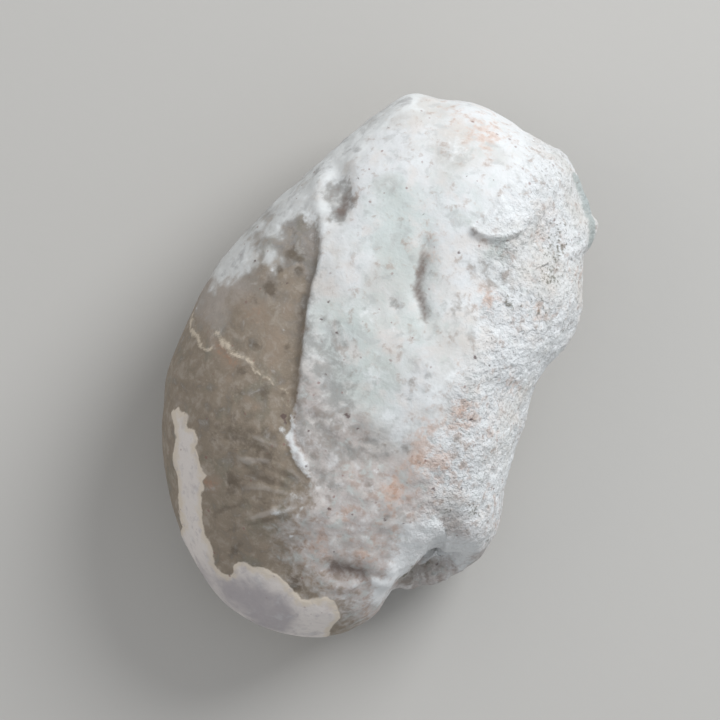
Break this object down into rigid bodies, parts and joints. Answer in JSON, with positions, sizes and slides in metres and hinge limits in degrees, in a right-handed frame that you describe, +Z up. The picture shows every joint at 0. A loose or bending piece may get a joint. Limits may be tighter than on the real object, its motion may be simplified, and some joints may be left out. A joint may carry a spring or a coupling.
{
  "type": "brachiopod fossil",
  "caption": "Loose brachiopod fossil: an inflated ribbed valve, bare on one side and covered by pale chalky matrix on the other, lying on its worn underside.",
  "frame": {"origin": "centre of the bounding box in plan, on the table under the worn underside", "axes": "+Y along the stone's length to its crown, +X to the matrix side, -X to the bare valve, +Z up"},
  "size_m": [0.0234, 0.0352, 0.0155],
  "materials": {
    "fossil_limestone": "matt, weathered and chalky, with brown bare shell and fine sandy grain"
  },
  "bodies": {
    "root": {"brachiopod_fossil": "fossil_limestone"}
  },
  "joints": []
}
